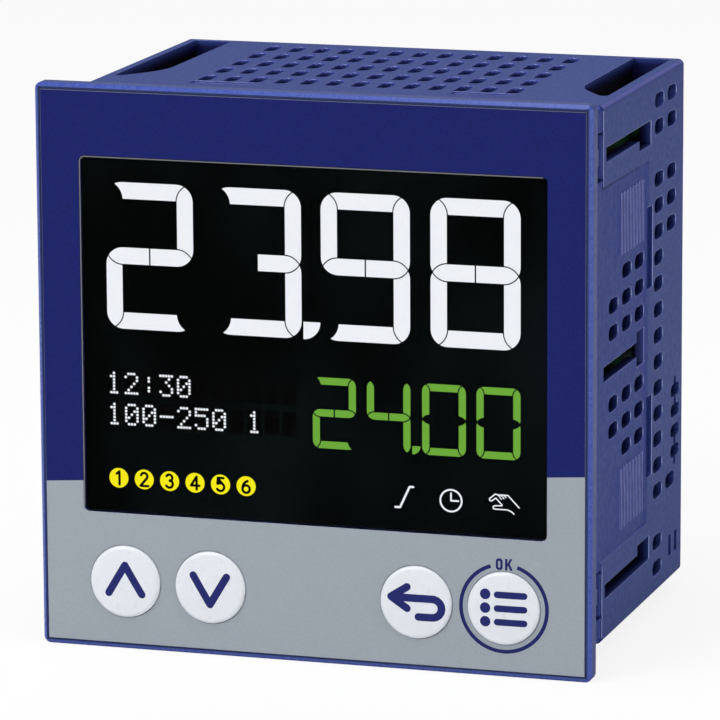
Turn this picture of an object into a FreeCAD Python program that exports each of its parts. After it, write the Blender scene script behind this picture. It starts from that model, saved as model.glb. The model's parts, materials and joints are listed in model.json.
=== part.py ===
import FreeCAD, Part
import os
from math import cos, pi, radians, sin, tan

Vec = FreeCAD.Vector

# Panel-mounted temperature controller, 96 x 96 format, all sizes in mm.
# Frame: +X to the right seen from the front, +Y into the panel, +Z up.
# Origin: centre of the flange's back face, which seats on the panel (y = 0).

# ---- Panel interface ----
panel_cutout = 92.0           # square opening in the panel
cutout_gap = 0.5              # sleeve to the opening, on each side
flange_overlap = 2.0          # flange past the opening, on each side
flange_t = 3.0
flange_corner_r = 1.2
flange_edge = 0.6             # chamfer round the flange front
housing_depth = 67.5          # from the flange's back face to the rear face
housing_corner_r = 1.0
rear_edge = 0.5               # chamfer round the rear face

# ---- Walls and clearances ----
wall_t = 1.8
rear_wall_t = 1.8
fit_gap = 0.1                 # between pieces that slide together and then stay
overrun = 1.0                 # how far a cutter runs past the surface it opens
root = 0.5                    # how far a raised feature reaches into its base
side_step = 0.35              # raised part of the side walls over their lower level
front_band = 13.2             # depth of the lower level all round the front of the sides

# ---- Side walls: lowered middle field and clip tracks ----
field_inset = 14.0            # field's edge below the top
field_rear = 43.2
field_ramp = 1.2              # slope up to the raised level at the rear of the field
strip_depth = 0.8             # two deeper strips behind the field
strip_len = 2.8
strip_inset = 8.0             # strips' ends to the edge of the field
strip_h = 14.1
track_front = 15.0            # common front end of the three clip tracks
track_inset = 8.5             # centre line of the outer tracks below the top
track_h = 2.4
track_rear = 44.5
track_entry_len = 7.8         # wider entry at the rear of the outer tracks
track_entry_step = 1.7
middle_track_h = 2.5
middle_track_rear = 40.6
middle_entry_len = 3.8
middle_entry_h = 6.0
middle_ramp = 1.2

# ---- Side walls: ratchet ribs ----
rib_count = 8
rib_pitch = 2.0
rib_len = 1.5
rib_front = 25.9
rib_inset = 2.6               # ribs' ends to the edge of the field
rib_h = 10.7

# ---- Ventilation slots ----
vent_len = 6.1
vent_h = 2.5                  # on the side walls
vent_w = 2.3                  # on the top and bottom
side_vent_rows = 9            # rows above and below the middle one
side_vent_inset = 4.55        # outermost row below the top
side_vent_rear = 17.3         # slot column's centre, ahead of the rear face
rear_vent_rear = 8.7          # second column's centre, ahead of the rear face
rear_vent_rows = (9, 8, 6, 5, 4, -6)
field_vent_y = (21.3, 30.0, 38.4)
field_vent_gap = 3.55         # first row's edge above the middle track
top_vent_columns = 13
top_vent_rows = 5
bottom_vent_rows = 3          # the bottom has the rear rows alone
top_vent_pitch = 8.75
top_vent_rear = 7.6           # last row's centre, ahead of the rear face
top_vent_margin = 9.7         # outermost slot's centre to the corner pocket

# ---- Corner pockets in the top and bottom ----
pocket_w = 6.6
pocket_side_wall = 2.1        # towards the side of the sleeve
pocket_wall = 1.3             # towards the rear and the cavity
pocket_depth = 6.0
pocket_floor = 1.3
pocket_bend_r = 13.0
pocket_turn = 35.0            # degrees that the inner wall bends towards the side
pocket_straight = 31.2        # straight run of the inner wall, from the rear
pocket_tip_r = 0.8

# ---- Snap latches ----
latch_front = 10.6            # front edge of the side windows
latch_len = 2.8
latch_gap = 1.5
latch_slit = 0.5
latch_h = 8.2
latch_hook_h = 2.8
latch_ramp = 1.0
top_latch_y = 17.0
top_latch_len = 4.2
top_latch_w = 10.6
top_latch_inset = 13.9        # middle of the recess to the corner pocket
top_latch_depth = 0.4

# ---- Small openings at the rear of the right side ----
lever_y = 62.2
lever_above_bottom = 28.15    # middle of the four openings
lever_pitch = 3.6
lever_len = 6.0
lever_h = 2.2
lever_notch_w = 1.7
lever_notch_h = 1.3
mark_y = 63.2                 # the rear one of two blind marks
mark_above_bottom = 6.4
mark_h = 3.6
mark_w = 2.0
mark_pitch = 4.05
mark_depth = 0.8

# ---- Front bezel and overlay ----
rim_w = 0.7                   # flange rim round the overlay
overlay_t = 0.3
overlay_inset = 0.2           # overlay lies below the rim's front
overlay_gap = 0.3
skirt_t = 1.5
skirt_len = 12.5
skirt_slit = 0.9
skirt_slit_front = 3.0

# ---- Display ----
window_side = 7.65            # flange edge to the window, on each side
window_above = 12.0
window_below = 23.4
window_corner_r = 1.0
window_t = 0.8
pane_gap = 0.1
lcd_t = 2.0
lcd_gap = 0.3
backlight_t = 3.5
tray_wall = 1.2
tray_floor = 1.5
board_t = 1.6
board_gap = 0.3               # board edges to the skirt round them

# ---- Keys ----
key_r = 6.1
key_gap = 0.15                # running clearance round each key
key_side = 14.95              # flange edge to the outer keys' centres
key_spacing = 15.05
key_below = 11.7              # keys' centres above the flange's lower edge
key_rise = 0.85               # side of the key above the overlay
key_edge = 0.5
key_travel = 0.8              # how far a key is pressed in
key_back = 0.6                # key disc's back face, ahead of the flange's back face
key_neck = 4.4
lug_half_w = 7.2
lug_half_h = 2.5
lug_t = 0.8
lug_gap = 0.05                # lug to its stop, the flange's back face
stem_size = 2.4
stem_len = 0.35
plunger_size = 3.0
plunger_gap = 0.1             # running clearance in the switch's guide
plunger_room = 0.2            # plunger to the guide's floor with the key pressed
switch_size = 6.0
switch_h = 2.6
switch_floor = 0.4

# ---- Boards inside the sleeve ----
side_board_inset = 2.15       # boards to the side walls
side_board_gap = 0.5          # board edge to the pocket floor
board_overhang = 2.0          # boards past the front of the plug blocks
header_w = 6.0
header_len = 6.0
header_h = 26.0
case_edge = 0.4               # chamfer round relays and plug blocks
relay_count = 3
relay_size = (12.0, 20.0, 15.5)
relay_y = 22.0
relay_pitch = 19.0
core_size = (18.0, 21.0, 25.0)
core_y = 18.0
core_z = 12.0
core_web = 5.0
coil_overhang = 3.0
can_r = 5.0
can_len = 16.0
can_y = 26.0
can_z = -12.0
film_cap_size = (11.0, 18.0, 6.0)
film_cap_gap = 3.0

# ---- Rear terminals ----
terminal_w = 16.0
terminal_poles = 8
terminal_pitch = 7.5
terminal_margin = 1.5
terminal_gap = 0.2            # round each block, and to the board beside it
strip_t = 4.0                 # fixed strip soldered to its board
plug_len = 12.5
well_size = 3.6
well_depth = 8.0
wire_offset = 3.6

# ---- Places that follow from the sizes above ----
flange_half = panel_cutout / 2 + flange_overlap
side_x = panel_cutout / 2 - cutout_gap
top_z = panel_cutout / 2 - cutout_gap
lower_x = side_x - side_step
inner_x = side_x - wall_t - side_step
inner_z = top_z - wall_t
skirt_x = inner_x - fit_gap
skirt_z = inner_z - fit_gap
field_half_h = top_z - field_inset
track_z = top_z - track_inset
side_vent_pitch = (top_z - side_vent_inset) / side_vent_rows
field_vent_first = middle_track_h / 2 + field_vent_gap + vent_h / 2
lever_z = lever_above_bottom - top_z
mark_z = mark_above_bottom - top_z
flange_front = -flange_t
overlay_front = flange_front + overlay_inset
overlay_back = overlay_front + overlay_t
pane_back = overlay_front + window_t
lcd_back = pane_back + lcd_t
tray_rear = lcd_back + backlight_t + tray_floor
display_board_rear = tray_rear + board_t
window_half_w = flange_half - window_side
window_half_h = flange_half - (window_above + window_below) / 2
window_z = (window_below - window_above) / 2
key_z = key_below - flange_half
key_x_outer = flange_half - key_side
key_x_inner = key_x_outer - key_spacing
side_board_z = top_z - pocket_depth - pocket_floor - side_board_gap
side_board_x = inner_x - side_board_inset - board_t
option_board_x = terminal_w / 2 + terminal_gap
terminal_x = side_board_x - terminal_gap - terminal_w / 2
pocket_out_x = side_x - pocket_side_wall
pocket_in_x = pocket_out_x - pocket_w
pocket_rear = housing_depth - pocket_wall
pocket_bend_y = pocket_rear - pocket_straight
top_latch_x = pocket_in_x - top_latch_inset
key_places = {
    "up": -key_x_outer,
    "down": -key_x_inner,
    "back": key_x_inner,
    "menu": key_x_outer,
}
plunger_front = lug_gap + lug_t + stem_len
plunger_rear = tray_rear - switch_floor - plunger_room - key_travel
switch_front = tray_rear - switch_h
terminal_h = terminal_poles * terminal_pitch + 2 * terminal_margin
plug_front = housing_depth - plug_len
board_rear = plug_front + board_overhang


def box(x0, x1, y0, y1, z0, z1):
    """Block between two corners."""
    return Part.makeBox(x1 - x0, y1 - y0, z1 - z0, Vec(x0, y0, z0))


def prism(points, sweep):
    """Solid swept from a closed outline through the given vector."""
    return Part.Face(Part.makePolygon(points + points[:1])).extrude(sweep)


def rounded_block(half_x, half_z, y0, y1, radius, centre_z=0.0):
    """Block along Y with its four long edges rounded."""
    block = box(-half_x, half_x, y0, y1, centre_z - half_z, centre_z + half_z)
    long_edges = [e for e in block.Edges if abs(e.tangentAt(e.FirstParameter).y) > 0.9]
    return block.makeFillet(radius, long_edges)


def cylinder_y(radius, y0, y1, x=0.0, z=0.0):
    """Round bar along Y."""
    return Part.makeCylinder(radius, y1 - y0, Vec(x, y0, z), Vec(0, 1, 0))


def bevel_rim(shape, size, y):
    """The shape with a chamfer on its edges that lie in the plane at y."""
    return shape.makeChamfer(size, [e for e in shape.Edges if abs(e.CenterOfMass.y - y) < 0.01])


def both_sides(shape):
    """The shape and its mirror image in the middle plane x = 0."""
    return [shape, shape.mirror(Vec(0, 0, 0), Vec(1, 0, 0))]


def below(shape):
    """Mirror image of the shape in the middle plane z = 0."""
    return shape.mirror(Vec(0, 0, 0), Vec(0, 0, 1))


def above_and_below(shape):
    """The shape and its mirror image in the middle plane z = 0."""
    return [shape, below(shape)]


def four_fold(shape):
    """The shape in all four quarters of the front view."""
    return [copy for half in both_sides(shape) for copy in above_and_below(half)]


def oblong(length, width):
    """Outline of a vent as (along, across) pairs, each end rounded by three flats."""
    end_r = width / 2
    straight = length / 2 - end_r * cos(radians(30))
    outline = []
    for turn in (0, 180):
        for angle in (-90, -30, 30, 90):
            a = radians(turn + angle)
            shift = straight if turn == 0 else -straight
            outline.append((shift + end_r * cos(a), end_r * sin(a)))
    return outline


def side_vent(y, z):
    """Cutter for one vent in the right wall."""
    start_x = inner_x - fit_gap
    points = [Vec(start_x, y + u, z + v) for u, v in oblong(vent_len, vent_h)]
    return prism(points, Vec(side_x + overrun - start_x, 0, 0))


def top_vent(x, y):
    """Cutter for one vent in the top wall."""
    start_z = inner_z - fit_gap
    points = [Vec(x + v, y + u, start_z) for u, v in oblong(vent_len, vent_w)]
    return prism(points, Vec(0, 0, top_z + overrun - start_z))


def housing_shell():
    """Sleeve with its rear wall, open at the front."""
    front = rounded_block(lower_x, top_z, 0, front_band + overrun, housing_corner_r)
    rear = rounded_block(side_x, top_z, front_band, housing_depth, housing_corner_r)
    outer = front.fuse(bevel_rim(rear, rear_edge, housing_depth)).removeSplitter()
    cavity = box(-inner_x, inner_x, -overrun, housing_depth - rear_wall_t, -inner_z, inner_z)
    bosses = four_fold(pocket_boss())
    return outer.cut(cavity.cut(bosses))


def pocket_face(wall, outer_x, rear_y, tip_r):
    """Plan outline of a corner pocket, grown inwards by a wall."""
    in_x = pocket_in_x - wall
    bend_r = pocket_bend_r + wall
    bend = radians(pocket_turn)
    centre = Vec(pocket_in_x + pocket_bend_r, pocket_bend_y, 0)
    start = Vec(in_x, pocket_bend_y, 0)
    middle = centre + Vec(-bend_r * cos(bend / 2), -bend_r * sin(bend / 2), 0)
    end = centre + Vec(-bend_r * cos(bend), -bend_r * sin(bend), 0)
    tip = Vec(outer_x, end.y - (outer_x - end.x) / tan(bend), 0)
    back = tip_r / tan(bend / 2)
    tip_start = tip + Vec(-back * sin(bend), back * cos(bend), 0)
    tip_end = tip + Vec(0, back, 0)
    tip_centre = tip_end - Vec(tip_r, 0, 0)
    half_turn = (pi - bend) / 2
    tip_middle = tip_centre + Vec(tip_r * cos(half_turn), -tip_r * sin(half_turn), 0)
    corner = Vec(outer_x, rear_y, 0)
    return Part.Face(Part.Wire([
        Part.LineSegment(Vec(in_x, rear_y, 0), start).toShape(),
        Part.Arc(start, middle, end).toShape(),
        Part.LineSegment(end, tip_start).toShape(),
        Part.Arc(tip_start, tip_middle, tip_end).toShape(),
        Part.LineSegment(tip_end, corner).toShape(),
        Part.LineSegment(corner, Vec(in_x, rear_y, 0)).toShape(),
    ]))


def pocket_boss():
    """Material round the pocket at the top right corner of the cavity."""
    face = pocket_face(pocket_wall, side_x, housing_depth, pocket_tip_r)
    bottom = top_z - pocket_depth - pocket_floor
    face.translate(Vec(0, 0, bottom))
    return face.extrude(Vec(0, 0, pocket_depth + pocket_floor))


def pocket_cutter():
    """Space of the open pocket at the top right corner."""
    face = pocket_face(0, pocket_out_x, pocket_rear, pocket_tip_r)
    face.translate(Vec(0, 0, top_z - pocket_depth))
    return face.extrude(Vec(0, 0, pocket_depth + overrun))


def side_field():
    """Lowered field between the clip tracks, with its ramp and two deeper strips."""
    out_x = side_x + overrun
    ramp_start = field_rear - field_ramp
    middle = prism(
        [
            Vec(lower_x, front_band - overrun, -field_half_h),
            Vec(out_x, front_band - overrun, -field_half_h),
            Vec(out_x, field_rear, -field_half_h),
            Vec(side_x, field_rear, -field_half_h),
            Vec(lower_x, ramp_start, -field_half_h),
        ],
        Vec(0, 0, 2 * field_half_h),
    )
    strip_high = field_half_h - strip_inset
    strip = box(side_x - strip_depth, out_x, field_rear - root, field_rear + strip_len,
                strip_high - strip_h, strip_high)
    return [middle] + above_and_below(strip)


def clip_tracks():
    """Three slots of the right wall that take the panel clip."""
    start_x = inner_x - fit_gap
    out_x = side_x + overrun
    track_low = track_z - track_h / 2
    outer = box(start_x, out_x, track_front, track_rear, track_low, track_low + track_h)
    entry_front = track_rear - track_entry_len
    entry = box(start_x, out_x, entry_front, track_rear, track_low - track_entry_step, track_low + track_h)
    half_h = middle_track_h / 2
    middle = box(start_x, out_x, track_front, middle_track_rear, -half_h, half_h)
    cross_front = middle_track_rear - middle_entry_len
    cross = box(start_x, out_x, cross_front, middle_track_rear, -middle_entry_h / 2, middle_entry_h / 2)
    ramp = prism(
        [
            Vec(lower_x - middle_ramp, middle_track_rear, -middle_entry_h / 2),
            Vec(out_x, middle_track_rear, -middle_entry_h / 2),
            Vec(out_x, middle_track_rear + middle_ramp, -middle_entry_h / 2),
            Vec(lower_x, middle_track_rear + middle_ramp, -middle_entry_h / 2),
        ],
        Vec(0, 0, middle_entry_h),
    )
    return above_and_below(outer) + above_and_below(entry) + [middle, cross, ramp]


def ratchet_ribs():
    """Upper field of saw-toothed ribs on the right wall, steep towards the front."""
    root_x = lower_x - root
    rib_low = field_half_h - rib_inset - rib_h
    points = [Vec(root_x, rib_front, rib_low)]
    for i in range(rib_count):
        y = rib_front + i * rib_pitch
        if i > 0:
            points.append(Vec(lower_x, y, rib_low))
        points.append(Vec(side_x, y, rib_low))
        points.append(Vec(lower_x, y + rib_len, rib_low))
    points.append(Vec(root_x, points[-1].y, rib_low))
    return prism(points, Vec(0, 0, rib_h))


def latch_window():
    """Slit round the sprung tongue of the upper right snap latch."""
    start_x = inner_x - fit_gap
    half_h = latch_h / 2
    rear = latch_front + latch_len
    low = track_z - half_h
    high = track_z + half_h
    gap = box(start_x, side_x, latch_front, latch_front + latch_gap, low, high)
    lower_slit = box(start_x, side_x, latch_front, rear, low, low + latch_slit)
    upper_slit = box(start_x, side_x, latch_front, rear, high - latch_slit, high)
    tongue_front = latch_front + latch_gap
    ramp = prism(
        [
            Vec(lower_x, tongue_front - 0.1, low),
            Vec(lower_x - latch_ramp, tongue_front - 0.1, low),
            Vec(lower_x, tongue_front + latch_ramp, low),
        ],
        Vec(0, 0, latch_h),
    )
    return [gap, lower_slit, upper_slit, ramp]


def top_latch():
    """Shallow latch recess in the top wall, right of the middle, with its step at the rear."""
    half_w = top_latch_w / 2
    rear_y = top_latch_y + top_latch_len
    x0 = top_latch_x - half_w
    points = [
        Vec(x0, top_latch_y, top_z),
        Vec(x0, top_latch_y, top_z + overrun),
        Vec(x0, rear_y, top_z + overrun),
        Vec(x0, rear_y, top_z - top_latch_depth),
    ]
    return prism(points, Vec(top_latch_w, 0, 0))


def side_vent_column():
    """Long column of vents, on both side walls."""
    column_y = housing_depth - side_vent_rear
    rows = [r for r in range(-side_vent_rows, side_vent_rows + 1) if abs(r) != side_vent_rows - 2]
    return [side_vent(column_y, row * side_vent_pitch) for row in rows]


def right_side_vents():
    """Second column and the vents in the lowered field, on the right wall alone."""
    rear_y = housing_depth - rear_vent_rear
    cutters = [side_vent(rear_y, row * side_vent_pitch) for row in rear_vent_rows]
    for row in range(3):
        z = field_vent_first + row * side_vent_pitch
        for y in field_vent_y[row // 2:]:
            cutters += above_and_below(side_vent(y, z))
    return cutters


def vent_grid(rows):
    """The rearmost rows of the vents in the top wall."""
    half_span = pocket_in_x - top_vent_margin
    pitch = 2 * half_span / (top_vent_columns - 1)
    last_y = housing_depth - top_vent_rear
    return [
        top_vent(column * pitch - half_span, last_y - row * top_vent_pitch)
        for row in range(rows)
        for column in range(top_vent_columns)
    ]


def right_side_details():
    """Four notched openings and two blind marks, on the right wall alone."""
    start_x = inner_x - fit_gap
    out_x = side_x + overrun
    cutters = []
    for index in (-1.5, -0.5, 0.5, 1.5):
        z = lever_z + index * lever_pitch
        points = [Vec(start_x, lever_y + u, z + v) for u, v in oblong(lever_len, lever_h)]
        cutters.append(prism(points, Vec(out_x - start_x, 0, 0)))
        reach = (lever_h / 2 + lever_notch_h) * (1 if index > 0 else -1)
        low = min(z, z + reach)
        half_w = lever_notch_w / 2
        cutters.append(box(start_x, out_x, lever_y - half_w, lever_y + half_w, low, low + abs(reach)))
    for index in (-1, 0):
        y = mark_y + index * mark_pitch
        cutters.append(box(side_x - mark_depth, out_x, y - mark_w / 2, y + mark_w / 2,
                           mark_z - mark_h / 2, mark_z + mark_h / 2))
    return cutters


def terminal_columns():
    """Centres of the three terminal columns by side."""
    return {"left": -terminal_x, "centre": 0.0, "right": terminal_x}


def make_housing():
    cutters = four_fold(pocket_cutter())
    for cutter in side_field() + clip_tracks() + side_vent_column():
        cutters += both_sides(cutter)
    for cutter in latch_window():
        cutters += four_fold(cutter)
    for cutter in both_sides(top_latch()):
        cutters += above_and_below(cutter)
    cutters += vent_grid(top_vent_rows)
    cutters += [below(vent) for vent in vent_grid(bottom_vent_rows)]
    cutters += right_side_vents() + right_side_details()
    half_w = terminal_w / 2 + terminal_gap
    half_h = terminal_h / 2 + terminal_gap
    y0 = housing_depth - rear_wall_t - overrun
    for x in terminal_columns().values():
        cutters.append(box(x - half_w, x + half_w, y0, housing_depth + overrun, -half_h, half_h))
    return housing_shell().cut(cutters).fuse(four_fold(ratchet_ribs()))


def make_front_bezel():
    flange = rounded_block(flange_half, flange_half, flange_front, 0, flange_corner_r)
    flange = bevel_rim(flange, flange_edge, flange_front)
    skirt = box(-skirt_x, skirt_x, -root, skirt_len, -skirt_z, skirt_z)
    body = flange.fuse(skirt)
    recess_half = flange_half - rim_w
    recess = box(-recess_half, recess_half, flange_front - overrun, overlay_back, -recess_half, recess_half)
    aperture = window_block(0, flange_front - overrun, overrun)
    hollow_x = skirt_x - skirt_t
    hollow_z = skirt_z - skirt_t
    hollow = box(-hollow_x, hollow_x, 0, skirt_len + overrun, -hollow_z, hollow_z)
    cutters = [recess, aperture, hollow]
    for x in key_places.values():
        cutters.append(cylinder_y(key_r + key_gap, flange_front - overrun, overrun, x, key_z))
    half_h = latch_hook_h / 2
    for low in (track_z - half_h - skirt_slit, track_z + half_h):
        slit = box(hollow_x - overrun, skirt_x + overrun, skirt_slit_front, skirt_len + overrun,
                   low, low + skirt_slit)
        cutters += four_fold(slit)
    hook_rear = latch_front + latch_gap - fit_gap
    hook = prism(
        [
            Vec(skirt_x - root, latch_front + fit_gap / 2, track_z - half_h),
            Vec(lower_x - fit_gap / 2, latch_front + fit_gap / 2, track_z - half_h),
            Vec(lower_x - fit_gap / 2, hook_rear - latch_ramp / 2, track_z - half_h),
            Vec(skirt_x - root, hook_rear, track_z - half_h),
        ],
        Vec(0, 0, latch_hook_h),
    )
    return body.cut(cutters).fuse(four_fold(hook))


def window_block(gap, y0, y1):
    """Block of the display window's outline, smaller by a gap all round."""
    corner_r = window_corner_r - gap / 2
    return rounded_block(window_half_w - gap, window_half_h - gap, y0, y1, corner_r, window_z)


def make_front_overlay():
    half = flange_half - rim_w - overlay_gap
    film = box(-half, half, overlay_front, overlay_back, -half, half)
    holes = [cylinder_y(key_r + key_gap, overlay_front - overrun, overlay_back + overrun, x, key_z)
             for x in key_places.values()]
    holes.append(window_block(0, overlay_front - overrun, overlay_back + overrun))
    return film.cut(holes)


def make_lcd_panel():
    half_w = window_half_w - lcd_gap
    half_h = window_half_h - lcd_gap
    return box(-half_w, half_w, pane_back, lcd_back, window_z - half_h, window_z + half_h)


def make_display_frame():
    half_w = window_half_w + tray_wall
    half_h = window_half_h + tray_wall
    tray = box(-half_w, half_w, lcd_back, tray_rear, window_z - half_h, window_z + half_h)
    return tray.cut(box(-window_half_w, window_half_w, lcd_back - overrun, lcd_back + backlight_t,
                        window_z - window_half_h, window_z + window_half_h))


def make_backlight():
    half_w = window_half_w - fit_gap
    half_h = window_half_h - fit_gap
    return box(-half_w, half_w, lcd_back, lcd_back + backlight_t, window_z - half_h, window_z + half_h)


def make_display_board():
    half_w = skirt_x - skirt_t - board_gap
    half_h = skirt_z - skirt_t - board_gap
    return box(-half_w, half_w, tray_rear, display_board_rear, -half_h, half_h)


def make_key(x):
    """Key cap with a bevelled front, two retaining lugs and a stem."""
    face_front = overlay_front - key_rise
    cap = bevel_rim(cylinder_y(key_r, face_front, -key_back), key_edge, face_front)
    neck = box(-key_neck / 2, key_neck / 2, -key_back, lug_gap, -key_neck / 2, key_neck / 2)
    lugs = box(-lug_half_w, lug_half_w, lug_gap, lug_gap + lug_t, -lug_half_h, lug_half_h)
    stem = box(-stem_size / 2, stem_size / 2, lug_gap + lug_t, plunger_front, -stem_size / 2, stem_size / 2)
    key = cap.fuse([neck, lugs, stem])
    key.translate(Vec(x, 0, key_z))
    return key


def make_plunger(x):
    half = plunger_size / 2
    return box(x - half, x + half, plunger_front, plunger_rear, key_z - half, key_z + half)


def make_switch(x):
    half = switch_size / 2
    guide = plunger_size / 2 + plunger_gap
    body = box(x - half, x + half, switch_front, tray_rear, key_z - half, key_z + half)
    return body.cut(box(x - guide, x + guide, switch_front - overrun, tray_rear - switch_floor,
                        key_z - guide, key_z + guide))


def make_board(x0, x1):
    return box(x0, x1, display_board_rear, board_rear, -side_board_z, side_board_z)


def make_header(x_board):
    """Connector in the corner between the display board and a board with its inner face at x_board."""
    x0 = x_board - header_w if x_board > 0 else x_board
    return box(x0, x0 + header_w, display_board_rear, display_board_rear + header_len,
               -header_h / 2, header_h / 2)


def make_relay(index):
    """One of the relays stacked on the inner face of the right board."""
    size_x, size_y, size_z = relay_size
    z = (index - (relay_count - 1) / 2) * relay_pitch
    x0 = side_board_x - size_x
    relay = box(x0, side_board_x, relay_y, relay_y + size_y, z - size_z / 2, z + size_z / 2)
    edges = [e for e in relay.Edges if abs(e.CenterOfMass.x - x0) < 0.01]
    return relay.makeChamfer(case_edge, edges)


def make_transformer_core():
    """E-shaped core pair round the coil, on the left board's inner face."""
    size_x, size_y, size_z = core_size
    x0 = -side_board_x + coil_overhang
    x1 = x0 + size_x - 2 * coil_overhang
    y1 = core_y + size_y
    half_z = size_z / 2 - core_web
    core = box(x0, x1, core_y, y1, core_z - size_z / 2, core_z + size_z / 2)
    window = box(x0 - overrun, x1 + overrun, core_y + core_web, y1 - core_web,
                 core_z - half_z, core_z + half_z)
    leg = box(x0, x1, core_y, y1, core_z - core_web / 2, core_z + core_web / 2)
    return core.cut(window).fuse(leg).removeSplitter()


def make_transformer_coil():
    size_x, size_y, size_z = core_size
    x0 = -side_board_x
    half_z = size_z / 2 - core_web - fit_gap
    y0 = core_y + core_web + fit_gap
    y1 = core_y + size_y - core_web - fit_gap
    coil = box(x0, x0 + size_x, y0, y1, core_z - half_z, core_z + half_z)
    leg_half = core_web / 2 + fit_gap
    hole = box(x0 + coil_overhang - fit_gap, x0 + size_x - coil_overhang + fit_gap,
               y0 - overrun, y1 + overrun, core_z - leg_half, core_z + leg_half)
    return coil.cut(hole)


def make_can_capacitor():
    """Round can standing on the left board's inner face."""
    base = Vec(-side_board_x, can_y, can_z)
    return Part.makeCylinder(can_r, can_len, base, Vec(1, 0, 0))


def make_film_capacitor():
    """Boxed capacitor below the can."""
    size_x, size_y, size_z = film_cap_size
    x0 = -side_board_x
    z1 = can_z - can_r - film_cap_gap
    y0 = can_y - size_y / 2
    return box(x0, x0 + size_x, y0, y0 + size_y, z1 - size_z, z1)


def pole_heights():
    """Heights of a column's poles."""
    return [(i - (terminal_poles - 1) / 2) * terminal_pitch for i in range(terminal_poles)]


def make_terminal_strip(x):
    """Fixed strip that the plug block sits on."""
    half_w = terminal_w / 2
    half_h = terminal_h / 2
    return box(x - half_w, x + half_w, plug_front - strip_t, plug_front, -half_h, half_h)


def make_terminal_block(x):
    """Plug block: for each pole a wire funnel beside a screw well."""
    half_w = terminal_w / 2
    half_h = terminal_h / 2
    block = box(x - half_w, x + half_w, plug_front, housing_depth, -half_h, half_h)
    block = bevel_rim(block, case_edge, housing_depth)
    half = well_size / 2
    wells = []
    for z in pole_heights():
        for offset in (-wire_offset, wire_offset):
            wells.append(box(x + offset - half, x + offset + half, housing_depth - well_depth,
                             housing_depth + overrun, z - half, z + half))
    return block.cut(wells)


def build_nodes():
    """Every piece of the controller by its node name."""
    nodes = {
        "housing": make_housing(),
        "front_bezel": make_front_bezel(),
        "front_overlay": make_front_overlay(),
        "display_window": window_block(pane_gap, overlay_front, pane_back),
        "lcd_panel": make_lcd_panel(),
        "display_frame": make_display_frame(),
        "backlight": make_backlight(),
        "display_board": make_display_board(),
        "right_board": make_board(side_board_x, side_board_x + board_t),
        "left_board": make_board(-side_board_x - board_t, -side_board_x),
        "option_board": make_board(option_board_x, option_board_x + board_t),
        "right_header": make_header(side_board_x),
        "left_header": make_header(-side_board_x),
        "option_header": make_header(option_board_x),
        "transformer_core": make_transformer_core(),
        "transformer_coil": make_transformer_coil(),
        "can_capacitor": make_can_capacitor(),
        "film_capacitor": make_film_capacitor(),
    }
    for name, x in key_places.items():
        nodes["key_" + name] = make_key(x)
        nodes["plunger_" + name] = make_plunger(x)
        nodes["switch_" + name] = make_switch(x)
    for index in range(relay_count):
        nodes["relay_%d" % (index + 1)] = make_relay(index)
    for side, x in terminal_columns().items():
        nodes["terminal_strip_" + side] = make_terminal_strip(x)
        nodes["terminal_block_" + side] = make_terminal_block(x)
    return nodes


os.makedirs("parts", exist_ok=True)
for node_name, node_shape in build_nodes().items():
    node_shape.exportStep(os.path.join("parts", node_name + ".step"))
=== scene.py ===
import json
import math
import bmesh
import bpy
from mathutils import Matrix, Vector

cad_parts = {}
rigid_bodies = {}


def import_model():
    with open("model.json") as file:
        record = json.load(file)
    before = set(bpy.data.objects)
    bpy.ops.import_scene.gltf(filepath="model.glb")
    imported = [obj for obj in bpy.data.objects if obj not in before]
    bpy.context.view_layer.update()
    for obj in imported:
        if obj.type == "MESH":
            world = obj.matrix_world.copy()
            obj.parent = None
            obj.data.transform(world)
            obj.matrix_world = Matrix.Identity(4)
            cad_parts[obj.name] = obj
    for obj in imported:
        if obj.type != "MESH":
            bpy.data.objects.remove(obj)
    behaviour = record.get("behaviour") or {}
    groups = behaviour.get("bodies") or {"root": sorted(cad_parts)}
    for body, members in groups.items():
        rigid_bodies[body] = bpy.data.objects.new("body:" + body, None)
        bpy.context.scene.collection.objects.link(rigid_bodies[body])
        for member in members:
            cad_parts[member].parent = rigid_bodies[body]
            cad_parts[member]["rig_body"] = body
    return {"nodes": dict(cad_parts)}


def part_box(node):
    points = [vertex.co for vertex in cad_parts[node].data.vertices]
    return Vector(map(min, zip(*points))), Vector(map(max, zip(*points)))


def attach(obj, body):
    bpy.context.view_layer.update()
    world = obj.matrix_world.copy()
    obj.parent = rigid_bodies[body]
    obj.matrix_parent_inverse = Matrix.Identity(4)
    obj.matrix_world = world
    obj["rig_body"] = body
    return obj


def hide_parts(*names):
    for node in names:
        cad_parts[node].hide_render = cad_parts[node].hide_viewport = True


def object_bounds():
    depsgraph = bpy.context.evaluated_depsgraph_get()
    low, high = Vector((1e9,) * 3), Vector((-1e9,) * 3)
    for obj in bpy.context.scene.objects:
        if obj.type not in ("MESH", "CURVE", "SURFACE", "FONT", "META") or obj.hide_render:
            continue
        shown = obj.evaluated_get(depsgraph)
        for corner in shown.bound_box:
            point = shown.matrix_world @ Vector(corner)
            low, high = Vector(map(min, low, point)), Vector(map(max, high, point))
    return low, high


# Looks of a panel-mounted temperature controller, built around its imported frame.
# Shapes are written in millimetres in the frame's axes and scaled to metres as pieces are made.
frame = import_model()
cad_bounds = [list(corner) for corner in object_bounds()]
scene = bpy.context.scene

MM = 0.001
KEYS = ("up", "down", "back", "menu")
SIDES = ("left", "centre", "right")
CORNERS = ((-1, -1), (1, -1), (1, 1), (-1, 1))
ONE_CORNER = 0.002  # vertices closer together than this are one corner
ONE_FLAT = 0.5  # degrees; faces that meet at less than this are one flat
NEAR = 0.01  # a vertex closer to a limit than this lies on it


def node_box(node):
    """Lowest and highest corner of a node in millimetres."""
    low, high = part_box(node)
    return low / MM, high / MM


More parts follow.
